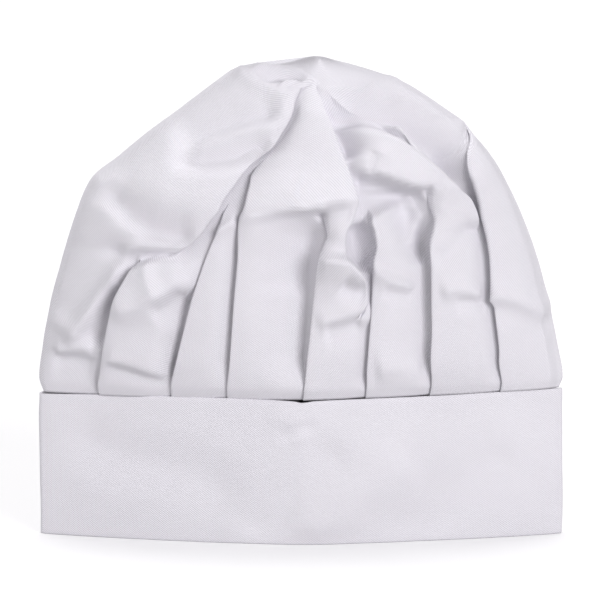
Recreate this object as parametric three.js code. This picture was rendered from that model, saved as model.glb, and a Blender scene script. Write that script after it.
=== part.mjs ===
// A white pleated chef hat: a tall band, and a floppy crown of one piece of cloth that is
// sewn to the band's top edge in knife pleats. The hat stands on its band, pressed nearly flat
// from front to back. Millimetres, +Z up, the front faces -Y, the origin is under the middle.
import * as THREE from "three";

// Driving dimensions.
const bandWidth = 292;
const bandDepth = 82;
const bandHeight = 81;
const bandWall = 2;
const bandFoldRadius = 3;
const crownWall = 1.1;
const seamGap = 0.3;
const seamZ = bandHeight + seamGap;

// The plan of a pressed loop of cloth is two flanks that meet in a soft ridge in front and behind:
// depth = (1 - |s| ^ ridge) ^ round, where s runs from -1 at the left side fold to 1 at the right.
const bandPlan = { ridge: 1.2, round: 0.85 };

// The crown in rings from the seam (v = 0) to the middle of the top (v = 7). Front and back are the
// half depths at the middle, middleZ the ring's height there, fold the radius of the side folds.
const rings = [
  { v: 0, front: 37.0, back: 37.0, middleZ: seamZ, fold: 2.5, ridge: 1.2, round: 0.85 },
  { v: 0.3, front: 41.5, back: 41.5, middleZ: 88, fold: 4, ridge: 1.3, round: 0.8 },
  { v: 1, front: 44, back: 45, middleZ: 103, fold: 6, ridge: 1.6, round: 0.7 },
  { v: 2, front: 48, back: 50, middleZ: 129, fold: 8, ridge: 1.9, round: 0.65 },
  { v: 3, front: 50, back: 53, middleZ: 157, fold: 9, ridge: 2, round: 0.6 },
  { v: 4, front: 48, back: 51, middleZ: 185, fold: 9, ridge: 2, round: 0.6 },
  { v: 5, front: 41, back: 44, middleZ: 215, fold: 9, ridge: 2, round: 0.6 },
  { v: 6, front: 26, back: 28, middleZ: 244, fold: 8, ridge: 2, round: 0.6 },
  { v: 7, front: 0, back: 0, middleZ: 268, fold: 0, ridge: 2, round: 0.6 },
];

// The hat's outline from the front, where each ring turns from the front to the back.
const leftEdge = [
  { v: 0, x: -143.5, z: seamZ },
  { v: 0.3, x: -146.5, z: 88 },
  { v: 1, x: -144.3, z: 104 },
  { v: 2, x: -140, z: 129 },
  { v: 3, x: -132.5, z: 159 },
  { v: 3.6, x: -125, z: 182 },
  { v: 4, x: -117, z: 199 },
  { v: 4.4, x: -101, z: 212 },
  { v: 5, x: -76, z: 232.5 },
  { v: 5.6, x: -48, z: 253 },
  { v: 6, x: -34, z: 262 },
  { v: 7, x: 10, z: 268.5 },
];
const rightEdge = [
  { v: 0, x: 143.5, z: seamZ },
  { v: 0.3, x: 146, z: 88 },
  { v: 1, x: 143, z: 106 },
  { v: 2, x: 138, z: 131 },
  { v: 3, x: 130, z: 160 },
  { v: 4, x: 115.5, z: 195 },
  { v: 5, x: 96.5, z: 223.5 },
  { v: 6, x: 53, z: 255 },
  { v: 7, x: 10, z: 268.5 },
];

// The folds, a row for each, from left to right as seen from outside. x is where the fold's edge lies
// on the rings v = 0 to 6, tuck how far the cloth goes under there, and lift how high the edge stands.
// over says which side lies on top.
const frontFolds = [
  {
    name: "left pleat",
    over: "right",
    x: [-112, -110, -105, -95, -79, -53, -25],
    tuck: [16, 14, 10, 2, 0, 0, 0],
    lift: [4.2, 6, 9, 6, 0, 0, 0],
  },
  {
    name: "flap",
    over: "left",
    x: [-92, -89, -83, -68, -43, -20.5, -1],
    tuck: [0, 0, 0, 2, 8, 8, 3],
    lift: [0, 0, 0, 4, 12, 12, 6],
  },
  {
    name: "second pleat",
    over: "right",
    x: [-72, -67, -61, -53, -39, -17, 1],
    tuck: [16, 13, 9, 6, 1, 0, 0],
    lift: [4.2, 5, 7, 6, 3, 0, 0],
  },
  {
    name: "third pleat",
    over: "right",
    x: [-41, -39, -37, -35, -32, -13.5, 3],
    tuck: [16, 14, 11, 8, 3, 0, 0],
    lift: [4.2, 6, 8, 8, 5, 0, 0],
  },
  {
    name: "middle pleat",
    over: "right",
    x: [1, 4, 6, 9, 10, 8.5, 6.5],
    tuck: [16, 14, 9, 4, 0, 0, 0],
    lift: [4.2, 8, 10, 6, 0, 0, 0],
  },
  {
    name: "peak",
    over: "left",
    x: [21, 24.5, 34, 30.5, 31, 23.5, 11.5],
    tuck: [0, 0, 2, 3, 3, 3, 1],
    lift: [0, 0, 6, 8, 8, 9, 4],
  },
  {
    name: "fourth pleat",
    over: "right",
    x: [37, 37, 38.5, 39.5, 36, 28.5, 14.5],
    tuck: [16, 13, 8, 6, 1, 0, 0],
    lift: [4.2, 6, 7, 8, 3, 0, 0],
  },
  {
    name: "fifth pleat",
    over: "right",
    x: [71, 71, 71, 71, 70, 58, 27],
    tuck: [16, 12, 6, 4, 0, 0, 0],
    lift: [4.2, 5, 5, 4, 2, 0, 0],
  },
  {
    name: "dome",
    over: "left",
    x: [92, 93, 95, 98, 91, 67, 34],
    tuck: [0, 0, 0, 1, 4, 3, 0],
    lift: [0, 0, 0, 3, 9, 6, 0],
  },
  {
    name: "right pleat",
    over: "right",
    x: [111, 109, 106, 102, 97, 85, 44],
    tuck: [16, 14, 10, 8, 5, 1, 0],
    lift: [4.2, 6, 8, 10, 8, 3, 0],
  },
];
// The back's pleats are alike and fade evenly: at is the place across the back, reach the ring where
// the pleat has opened, and drift how far it leans towards the middle on its way up.
const backPleats = [
  { at: -0.8, reach: 3.6, drift: 0.04 },
  { at: -0.56, reach: 4.4, drift: 0.03 },
  { at: -0.32, reach: 4.9, drift: 0.02 },
  { at: -0.08, reach: 4.2, drift: 0 },
  { at: 0.16, reach: 5.1, drift: -0.02 },
  { at: 0.4, reach: 4.6, drift: -0.02 },
  { at: 0.62, reach: 4.0, drift: -0.03 },
  { at: 0.84, reach: 3.4, drift: -0.03 },
];
const backPleat = { tuck: 15, lift: 4.2, openLift: 3, opensBefore: 0.8, fadeOver: 1 / 3 };

// Across a fold the cloth runs under the edge, turns back, and turns again over the edge. The three
// plies of a pressed pleat are one solid, with a groove under the edge: a row is a point of the
// outer face, where under is its share of the groove, spread its place when the fold is open, and up
// its share of the lift. The inner face passes straight below: inUnder is its share of the tuck,
// inSpread its place when the fold is open, and inUp its share of the lift there.
const pleatSection = [
  { under: 0, spread: -1, up: 0, inUnder: 0, inSpread: -1, inUp: 0 },
  { under: 1, spread: -0.3, up: 0.12, inUnder: 0.3, inSpread: -0.5, inUp: 0.15 },
  { under: 1, spread: 0, up: 0.4, inUnder: 0.6, inSpread: 0, inUp: 0.5 },
  { under: 0.1, spread: 0.35, up: 0.75, inUnder: 0.85, inSpread: 0.5, inUp: 0.85 },
  { under: 0, spread: 1, up: 1, inUnder: 1, inSpread: 1, inUp: 1 },
];
const groovePerLift = 0.4;
const openSpread = 2.5;
const closedSpread = 0.7;
const closedTuck = 6;
const closedLift = 3;
const spreadShare = 0.3;

// The inner face lies below the lowest cloth within this distance to either side.
const innerReach = 1.6;

// A panel beside a tuck stays up over the whole tuck before it falls to the next fold.
const tuckMargin = 2;
const heldLift = 0.88;
const panelShares = { near: 0.33, far: 0.6 };

// Which rings and which places between the folds become points of the mesh.
const ringValues = [0, 0.3, 0.65, 1, 1.5, 2, 2.5, 3, 3.5, 4, 4.4, 4.8, 5.2, 5.6, 6, 6.5];
const lastFoldRing = 6;
const poleRing = 7;
const bandSteps = 24;
const nearSide = [0.35, 0.72];
const sideFan = [-0.6, 0, 0.6];
const lastPlace = 0.999;

// A ring dips from its side folds to its middle as (1 - s * s) ^ dipPower.
const dipPower = 0.75;

// Limits of the geometry: the step that measures a slope, the smallest face that counts, and the
// least lean of a corner's faces, which keeps the inner face from running off at a sharp edge.
const slopeStep = 1e-3;
const smallestFace = 1e-9;
const leastLean = 0.6;

// A smooth curve through a column of a table that never swings past its own values.
function along(table, column, v) {
  const last = table.length - 1;
  if (v >= table[last].v) return table[last][column];
  const k = Math.max(0, table.findIndex((row) => row.v > v) - 1);
  const slope = (i) => (table[i + 1][column] - table[i][column]) / (table[i + 1].v - table[i].v);
  const tangent = (i) => {
    if (i === 0 || i === last) return slope(Math.min(i, last - 1));
    const [before, after] = [slope(i - 1), slope(i)];
    return before * after > 0 ? (2 * before * after) / (before + after) : 0;
  };
  const [a, b] = [table[k], table[k + 1]];
  const step = b.v - a.v;
  const t = (v - a.v) / step;
  return (
    a[column] * (1 + 2 * t) * (1 - t) ** 2 +
    b[column] * t * t * (3 - 2 * t) +
    step * (tangent(k) * t * (1 - t) ** 2 - tangent(k + 1) * t * t * (1 - t))
  );
}

// A fold's column of values on the rings 0 to 6, read at v.
function foldValue(values, v) {
  const table = values.map((value, i) => ({ v: i, value }));
  return along(table, "value", v);
}

// A pressed loop's depth and outward direction at s, from side fold to side fold.
function loopDepth(loop, s) {
  return loop.depth * (1 - Math.abs(s) ** loop.ridge) ** loop.round;
}

function loopNormal(loop, s) {
  const [q0, q1] = [Math.max(-1, s - slopeStep), Math.min(1, s + slopeStep)];
  const slope = (loopDepth(loop, q1) - loopDepth(loop, q0)) / ((q1 - q0) * loop.halfWidth);
  const length = Math.hypot(1, slope);
  return { x: -slope / length, y: 1 / length };
}

// A point out from the loop's core. side is -1 in front and 1 behind.
function loopPoint(loop, side, s, out) {
  const normal = loopNormal(loop, s);
  return [
    loop.middleX + loop.halfWidth * s + normal.x * out,
    side * (loopDepth(loop, s) + normal.y * out),
  ];
}

// The points round a side fold, after the half on this side.
function sideFold(loop, side, out) {
  const half = Math.acos(Math.abs(loopNormal(loop, lastPlace).x));
  const tip = loop.middleX - side * loop.halfWidth;
  return sideFan.map((share) => [
    tip - side * out * Math.cos(share * half),
    -side * out * Math.sin(share * half),
  ]);
}

// The band: a straight-sided loop of folded cloth.
function bandOutline(out) {
  const core = {
    middleX: 0,
    halfWidth: bandWidth / 2 - bandFoldRadius,
    depth: bandDepth / 2 - bandFoldRadius,
    ...bandPlan,
  };
  const points = [];
  for (const side of [-1, 1]) {
    for (let i = 0; i <= bandSteps; i++) {
      const s = -side * Math.sin(((i / bandSteps) * 2 - 1) * (Math.PI / 2)) * lastPlace;
      points.push(loopPoint(core, side, s, out));
    }
    points.push(...sideFold(core, side, out));
  }
  return points.map(([x, y]) => new THREE.Vector2(x, y));
}

function makeBand() {
  const shape = new THREE.Shape(bandOutline(bandFoldRadius));
  shape.holes.push(new THREE.Path(bandOutline(bandFoldRadius - bandWall)));
  return new THREE.ExtrudeGeometry(shape, { depth: bandHeight, bevelEnabled: false });
}

// The folds of the front and of the back on the ring v. s runs from -1 at the left, seen from outside.
function frontFoldsAt(v, plan) {
  return frontFolds.map((fold) => ({
    over: fold.over,
    s: (foldValue(fold.x, v) - plan.middleX) / plan.halfWidth,
    tuck: foldValue(fold.tuck, v),
    lift: foldValue(fold.lift, v),
  }));
}

function backFoldsAt(v) {
  return backPleats.map((pleat) => {
    const left = Math.max(0, 1 - v / pleat.reach);
    const rise = backPleat.openLift * Math.sin(Math.PI * left);
    return {
      over: "right",
      s: pleat.at + (pleat.drift * v) / pleat.reach,
      tuck: backPleat.tuck * Math.max(0, 1 - v / (pleat.reach - backPleat.opensBefore)),
      lift: backPleat.lift * Math.min(1, left / backPleat.fadeOver) + rise,
    };
  });
}

// The heights of the cloth before and after each fold. A fold that has opened lies on the line
// between its neighbours, and a closed one starts from the core.
function foldHeights(folds) {
  const rise = folds.map(({ over, lift }) => (over === "left" ? [lift, 0] : [0, lift]));
  const base = folds.map(() => 0);
  const sweeps = folds.length;
  for (let n = 0; n < sweeps; n++)
    folds.forEach((fold, i) => {
      const before = i ? { s: folds[i - 1].s, height: base[i - 1] + rise[i - 1][1] } : { s: -1, height: 0 };
      const next = folds[i + 1];
      const after = next ? { s: next.s, height: base[i + 1] + rise[i + 1][0] } : { s: 1, height: 0 };
      const u = (fold.s - before.s) / (after.s - before.s);
      const open = 1 - Math.min(1, fold.lift / closedLift);
      base[i] = open * (before.height + (after.height - before.height) * u);
    });
  return base.map((low, i) => ({ low, before: low + rise[i][0], after: low + rise[i][1] }));
}

// The points across one fold, from left to right, of the outer and the inner face. before and after
// are the widths of the panels beside it.
function foldSection(fold, low, before, after, halfWidth) {
  const closed = Math.min(1, fold.tuck / closedTuck);
  const widest = openSpread + (closedSpread - openSpread) * closed;
  const spread = Math.min(widest, spreadShare * Math.min(before, after));
  const turned = fold.over === "left" ? -1 : 1;
  const groove = Math.min(fold.tuck, groovePerLift * fold.lift);
  const reach = panelShares.far * (turned > 0 ? after : before) - tuckMargin - spread;
  const plies = Math.max(0, Math.min(fold.tuck, reach));
  const section = pleatSection.map((p) => ({
    s: fold.s + (turned * (p.under * groove + p.spread * spread)) / halfWidth,
    height: low + p.up * fold.lift,
    inside: {
      s: fold.s + (turned * (p.inUnder * plies + p.inSpread * spread)) / halfWidth,
      height: low + p.inUp * fold.lift * (1 - closed),
    },
  }));
  return turned < 0 ? section.reverse() : section;
}

// The two points of a panel: past the tuck under its left end, and before the one under its right end.
function panelPoints(start, end, leftTuck, rightTuck, halfWidth) {
  const width = (end.s - start.s) * halfWidth;
  const share = (tuck) => {
    const past = tuck > 0 ? (tuck + tuckMargin) / width : 0;
    return Math.min(panelShares.far, Math.max(panelShares.near, past));
  };
  const [a, b] = [share(leftTuck), 1 - share(rightTuck)];
  const line = (u) => start.height + (end.height - start.height) * u;
  const held = (height, tuck, u) => {
    const closed = Math.min(1, tuck / closedTuck);
    return line(u) + (Math.max(line(u), heldLift * height) - line(u)) * closed;
  };
  const near = { u: Math.min(a, b), height: held(start.height, leftTuck, a) };
  const far = { u: Math.max(a, b), height: held(end.height, rightTuck, b) };
  if (leftTuck > 0 && rightTuck <= 0) {
    const fall = (far.u - near.u) / (1 - near.u);
    far.height = near.height + (end.height - near.height) * fall;
  }
  return [near, far].map((p) => ({ s: start.s + (end.s - start.s) * p.u, height: p.height }));
}

// One half of a ring, as seen from outside: places across it with how far the cloth stands out there.
function halfRing(folds, halfWidth) {
  const heights = foldHeights(folds);
  const side = { s: -1, height: 0 };
  const points = [];
  let start = side;
  folds.forEach((fold, i) => {
    const before = i ? folds[i - 1].s : -1;
    const after = i < folds.length - 1 ? folds[i + 1].s : 1;
    const widths = [(fold.s - before) * halfWidth, (after - fold.s) * halfWidth];
    const section = foldSection(fold, heights[i].low, ...widths, halfWidth);
    const end = section[0];
    if (!i) {
      for (const u of nearSide)
        points.push({ s: start.s + (end.s - start.s) * u, height: end.height * u });
    } else {
      const leftTuck = folds[i - 1].over === "right" ? folds[i - 1].tuck : 0;
      const rightTuck = fold.over === "left" ? fold.tuck : 0;
      points.push(...panelPoints(start, end, leftTuck, rightTuck, halfWidth));
    }
    points.push(...section);
    start = section[section.length - 1];
  });
  const lastTuck = folds[folds.length - 1].tuck;
  points.push(...panelPoints(start, { s: 1, height: 0 }, lastTuck, 0, halfWidth));
  return points;
}

// The lowest height of a half ring's points within reach of the place s.
function lowestNear(points, s, reach) {
  let lowest = Infinity;
  for (let i = 1; i < points.length; i++) {
    const [a, b] = [points[i - 1], points[i]];
    const low = Math.max(Math.min(a.s, b.s), s - reach);
    const high = Math.min(Math.max(a.s, b.s), s + reach);
    if (low > high) continue;
    for (const at of [low, high]) {
      const share = a.s === b.s ? 0 : (at - a.s) / (b.s - a.s);
      lowest = Math.min(lowest, a.height + (b.height - a.height) * share);
    }
  }
  return lowest === Infinity ? 0 : lowest;
}

// The sizes of the ring v.
function ringPlan(v) {
  const value = (column) => along(rings, column, v);
  const [left, right] = [leftEdge, rightEdge].map((edge) => ({
    x: along(edge, "x", v),
    z: along(edge, "z", v),
  }));
  const fold = value("fold");
  return {
    left,
    right,
    fold,
    front: value("front"),
    back: value("back"),
    middleZ: value("middleZ"),
    ridge: value("ridge"),
    round: value("round"),
    middleX: (left.x + right.x) / 2,
    halfWidth: (right.x - left.x) / 2 - fold,
  };
}

// How high the ring lies at s: it dips from its side folds towards the middle.
function ringHeight(plan, s) {
  const side = plan.left.z + ((plan.right.z - plan.left.z) * (s + 1)) / 2;
  const dip = (plan.left.z + plan.right.z) / 2 - plan.middleZ;
  return side - dip * Math.max(0, 1 - s * s) ** dipPower;
}

// All points of the ring v, once round: the front, the right side fold, the back, the left side fold.
// Above the last ring of the fold tables the folds keep their places and shrink with the ring.
function crownRing(v, inside) {
  const plan = ringPlan(v);
  const foldV = Math.min(v, lastFoldRing);
  const foldPlan = ringPlan(foldV);
  const shrink = plan.halfWidth / foldPlan.halfWidth;
  const halves = [
    { side: -1, depth: plan.front, folds: frontFoldsAt(foldV, foldPlan) },
    { side: 1, depth: plan.back, folds: backFoldsAt(foldV) },
  ];
  const points = [];
  for (const { side, depth, folds } of halves) {
    const loop = { ...plan, depth: depth - plan.fold };
    const shrunk = folds.map((f) => ({ ...f, tuck: f.tuck * shrink, lift: f.lift * shrink }));
    const outline = halfRing(shrunk, plan.halfWidth);
    for (const p of outline) {
      const place = (inside && p.inside) || p;
      const lowest = inside ? lowestNear(outline, place.s, innerReach / plan.halfWidth) : Infinity;
      const s = Math.max(-lastPlace, Math.min(lastPlace, -side * place.s));
      const [x, y] = loopPoint(loop, side, s, plan.fold + Math.min(place.height, lowest));
      points.push(new THREE.Vector3(x, y, ringHeight(plan, s)));
    }
    for (const [x, y] of sideFold(loop, side, plan.fold))
      points.push(new THREE.Vector3(x, y, ringHeight(plan, -side)));
  }
  return points;
}

// How each point moves so that the faces round it move out by one.
function outwardMoves(vertices, faces) {
  const normalsAt = vertices.map(() => []);
  for (const face of faces) {
    const [a, b, c] = face.map((i) => vertices[i]);
    const across = new THREE.Vector3().crossVectors(b.clone().sub(a), c.clone().sub(a));
    if (across.length() > smallestFace) for (const i of face) normalsAt[i].push(across);
  }
  return normalsAt.map((normals) => {
    const mean = normals.reduce((sum, n) => sum.add(n), new THREE.Vector3()).normalize();
    const lean = normals.reduce((sum, n) => sum + n.clone().normalize().dot(mean), 0);
    return mean.multiplyScalar(1 / Math.max(leastLean, lean / normals.length));
  });
}

// The crown's cloth: the outer face through all rings to the middle of the top, the inner face one
// wall further in, and the rim that joins them. The rim stays level, because it lies on the band.
function makeCrown() {
  const top = new THREE.Vector3(along(leftEdge, "x", poleRing), 0, along(rings, "middleZ", poleRing));
  const outer = [...ringValues.flatMap((v) => crownRing(v, false)), top];
  const lining = [...ringValues.flatMap((v) => crownRing(v, true)), top];
  const count = (outer.length - 1) / ringValues.length;
  const pole = outer.length - 1;
  const faces = [];
  for (let j = 0; j < ringValues.length; j++)
    for (let i = 0; i < count; i++) {
      const [a, b] = [j * count + i, j * count + ((i + 1) % count)];
      if (j === ringValues.length - 1) faces.push([a, b, pole]);
      else faces.push([a, b, b + count], [a, b + count, a + count]);
    }
  const moves = outwardMoves(lining, faces);
  const inner = lining.map((p, i) => {
    if (i < count) moves[i].z = 0;
    return p.clone().addScaledVector(moves[i], -crownWall);
  });
  const half = outer.length;
  const index = [...faces, ...faces.map(([a, b, c]) => [a + half, c + half, b + half])];
  for (let i = 0; i < count; i++) {
    const next = (i + 1) % count;
    index.push([i, i + half, next + half], [i, next + half, next]);
  }
  const position = [...outer, ...inner].flatMap((p) => p.toArray());
  const geometry = new THREE.BufferGeometry();
  geometry.setAttribute("position", new THREE.Float32BufferAttribute(position, 3));
  geometry.setIndex(index.flat());
  geometry.computeVertexNormals();
  return geometry;
}

const whiteCloth = { color: 0xeceaf0, roughness: 0.9, metalness: 0 };
const hat = new THREE.Group();

const band = new THREE.Mesh(makeBand(), new THREE.MeshStandardMaterial(whiteCloth));
band.name = "band";
hat.add(band);

const crown = new THREE.Mesh(makeCrown(), new THREE.MeshStandardMaterial(whiteCloth));
crown.name = "crown";
hat.add(crown);

export default hat;
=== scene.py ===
# %% [markdown]
# # A white chef hat, stood on its band
#
# The hat is two pieces of white twill: a tall doubled headband, and one big round piece of cloth
# whose rim is sewn to the band's top edge in knife pleats. It is built as a hat that was laid down and
# pressed, so it is nearly flat from front to back, and its soft crown leans and folds over to the left.
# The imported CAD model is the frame: it gives the places and sizes, and the cloth built here lies over it.

# %% Load the frame
import math

import bpy
import numpy as np
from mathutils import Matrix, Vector, noise


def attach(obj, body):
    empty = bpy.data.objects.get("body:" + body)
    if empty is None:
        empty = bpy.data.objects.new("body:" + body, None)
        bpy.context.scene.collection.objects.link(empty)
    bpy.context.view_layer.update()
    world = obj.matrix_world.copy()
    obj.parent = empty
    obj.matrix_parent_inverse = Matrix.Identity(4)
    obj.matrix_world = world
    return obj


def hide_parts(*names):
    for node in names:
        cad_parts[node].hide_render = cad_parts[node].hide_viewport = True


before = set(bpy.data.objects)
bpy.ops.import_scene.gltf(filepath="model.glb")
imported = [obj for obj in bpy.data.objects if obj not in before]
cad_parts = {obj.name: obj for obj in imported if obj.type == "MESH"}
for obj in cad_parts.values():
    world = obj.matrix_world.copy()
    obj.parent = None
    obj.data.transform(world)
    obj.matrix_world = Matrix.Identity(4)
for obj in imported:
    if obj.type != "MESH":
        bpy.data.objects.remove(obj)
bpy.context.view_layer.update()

MM = 0.001
print("frame nodes:", sorted(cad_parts))

# %% [markdown]
# ## Curves through a few measured rows
#
# Every size of the crown is a row in a short table. A curve has to run through those rows without
# swinging past them, or the cloth would bulge between two measured places. A monotone cubic does
# that: its slope at a row is the harmonic mean of the slopes on both sides, and zero at a peak.

# %% A curve that never overshoots
def smooth_curve(places, values, at):
    """Values at the places at, on a smooth curve through the rows."""
    x, y = np.asarray(places, float), np.asarray(values, float)
    slopes = np.diff(y) / np.diff(x)
    tangents = np.empty_like(y)
    tangents[0], tangents[-1] = slopes[0], slopes[-1]
    same_way = slopes[:-1] * slopes[1:] > 0
    sums = np.where(same_way, slopes[:-1] + slopes[1:], 1)
    tangents[1:-1] = np.where(same_way, 2 * slopes[:-1] * slopes[1:] / sums, 0)
    k = np.clip(np.searchsorted(x, at, side="right") - 1, 0, len(x) - 2)
    step = x[k + 1] - x[k]
    t = np.clip((at - x[k]) / step, 0, 1)
    rise = y[k] * (1 + 2 * t) * (1 - t) ** 2 + y[k + 1] * t * t * (3 - 2 * t)
    return rise + step * (tangents[k] * t * (1 - t) ** 2 - tangents[k + 1] * t * t * (1 - t))


def ease(t):
    """0 below 0, 1 above 1, and a soft step between."""
    t = np.clip(t, 0, 1)
    return t * t * (3 - 2 * t)


print("a curve through 0, 2, 2:", smooth_curve([0, 1, 2], [0, 2, 2], np.array([0.5, 1.5])).round(2))

# %% [markdown]
# ## The crown in rings
#
# A crown can be thought of as rings of cloth, from the seam (ring 0) up to the middle of the top
# (ring 7). Each ring is a pressed loop: two flanks that meet in a soft ridge in front and behind, and
# a tight fold at each side. The two outline tables say where each ring turns from front to back,
# which is the outline that a viewer sees.

# %% Tables of the rings and of the outline, in millimetres
RINGS = {
    "ring": [0, 0.3, 1, 2, 3, 4, 5, 6, 7],
    "front": [38.6, 43, 45, 46.5, 47, 45.5, 39.5, 25.5, 0],
    "back": [38.6, 42.5, 46, 50, 53, 51, 44, 28, 0],
    "middle_z": [80.6, 88, 103, 129, 157, 185, 215, 244, 267.5],
    "fold": [2.5, 4, 6, 8, 9, 9, 9, 8, 0],
    "ridge": [1.2, 1.3, 1.6, 1.9, 2, 2, 2, 2, 2],
    "round": [0.85, 0.8, 0.7, 0.65, 0.6, 0.6, 0.6, 0.6, 0.6],
}
LEFT_EDGE = {
    "ring": [0, 0.3, 1, 2, 3, 3.6, 4, 4.4, 5, 5.6, 6, 7],
    "x": [-143.7, -146.3, -144.3, -140, -132.5, -125, -117, -101, -76, -48, -34, 10],
    "z": [80, 88, 104, 129, 159, 182, 199, 212, 232.5, 253, 262, 268],
}
RIGHT_EDGE = {
    "ring": [0, 0.3, 1, 2, 3, 4, 5, 6, 7],
    "x": [144, 146, 143, 138, 130, 115.5, 96.5, 53, 10],
    "z": [82.6, 89, 106, 131, 160, 195, 223.5, 255, 268],
}
POLE_RING = 7
RING_STEPS = 701
ring_values = np.linspace(0, POLE_RING, RING_STEPS)
ring_sizes = {
    name: smooth_curve(RINGS["ring"], column, ring_values)
    for name, column in RINGS.items()
    if name != "ring"
}
for side, edge in (("left", LEFT_EDGE), ("right", RIGHT_EDGE)):
    for axis in ("x", "z"):
        ring_sizes[f"{side}_{axis}"] = smooth_curve(edge["ring"], edge[axis], ring_values)
print("ring 3 is", round(float(ring_sizes["right_x"][300] - ring_sizes["left_x"][300]), 1), "mm wide")

# %% [markdown]
# ## A point on a ring
#
# A place on a ring is a share s from -1 at the left side fold to 1 at the right. The loop gives the
# depth there and the direction that faces outward, and the cloth may stand out from the loop by a
# height. The whole crown is built with this one function.

# %% From ring and share to a point
DIP_POWER = 0.75
LAST_SHARE = 0.999
SLOPE_STEP = 0.001


def ring_at(v):
    """The sizes of ring v, by name."""
    return {name: float(np.interp(v, ring_values, column)) for name, column in ring_sizes.items()}


def ring_height(ring, s):
    """How high the ring lies at s: it dips from its side folds towards the middle."""
    side = ring["left_z"] + (ring["right_z"] - ring["left_z"]) * (s + 1) / 2
    dip = (ring["left_z"] + ring["right_z"]) / 2 - ring["middle_z"]
    return side - dip * np.maximum(0, 1 - s * s) ** DIP_POWER


def half_width(ring):
    """Half the ring's width between the middles of its side folds."""
    return (ring["right_x"] - ring["left_x"]) / 2 - ring["fold"]


def middle_x(ring):
    """The x of the ring's middle."""
    return (ring["right_x"] + ring["left_x"]) / 2


def loop_depth(ring, side, s):
    """How far the loop's core lies in front of the middle, or behind it, at s."""
    depth = ring["front" if side < 0 else "back"] - ring["fold"]
    return depth * (1 - np.abs(s) ** ring["ridge"]) ** ring["round"]


def loop_point(ring, side, s, height):
    """Points x, y, z at shares s of the front (side -1) or the back (side 1), height out from the loop."""
    s = np.clip(s, -LAST_SHARE, LAST_SHARE)
    low, high = np.maximum(-1, s - SLOPE_STEP), np.minimum(1, s + SLOPE_STEP)
    width = half_width(ring)
    slope = (loop_depth(ring, side, high) - loop_depth(ring, side, low)) / ((high - low) * width)
    length = np.hypot(1, slope)
    out = ring["fold"] + height
    x = middle_x(ring) + width * s - slope / length * out
    y = side * (loop_depth(ring, side, s) + out / length)
    return np.stack([x, y, ring_height(ring, s)], axis=-1)


middle = loop_point(ring_at(3), -1, np.array([0.0]), np.array([0.0]))[0]
print("the middle of ring 3:", middle.round(1))

# %% [markdown]
# ## Where a seen place lies on the crown
#
# The folds were measured as they are seen, from a little above the horizon. A point that stands
# further forward is then seen lower down. This step turns a seen place (x across, q up the picture)
# into a ring and a share, by halving the range of rings until the place is met.

# %% From a seen place to ring and share
VIEW_ELEVATION = 7.0
LOWER_PER_DEPTH = math.tan(math.radians(VIEW_ELEVATION))
USUAL_HEIGHT = 3.0
HALVINGS = 18
TOP_RING = 6.9


def seen_ring(x, q):
    """The ring and the share of the front's cloth that is seen at x, q."""
    low, high = 0.0, TOP_RING
    for _ in range(HALVINGS):
        v = (low + high) / 2
        ring = ring_at(v)
        s = np.clip((x - middle_x(ring)) / half_width(ring), -LAST_SHARE, LAST_SHARE)
        depth = loop_depth(ring, -1, s) + ring["fold"] + USUAL_HEIGHT
        seen = ring_height(ring, s) - LOWER_PER_DEPTH * depth
        if seen < q:
            low = v
        else:
            high = v
    return v, float(s)


print("the middle, seen 120 mm up, is on ring", round(seen_ring(0, 120)[0], 2))

# %% [markdown]
# ## The folds of the front
#
# A knife pleat is a fold whose one side lies on top of the other. Each entry below is one fold: which
# side is on top, the x where it leaves the seam and where it ends near the top, and its way between
# as rows of x, q, tuck and lift. Tuck is how far the cloth goes in under the edge, and lift how far
# the edge's side stands up. A fold with no tuck and no lift has opened into plain cloth, and a fold
# without a foot starts at the seam with its first row. A lifted edge is seen further out and lower
# than the bare loop below it, so its place there is found by aiming, looking and aiming again.

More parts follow.
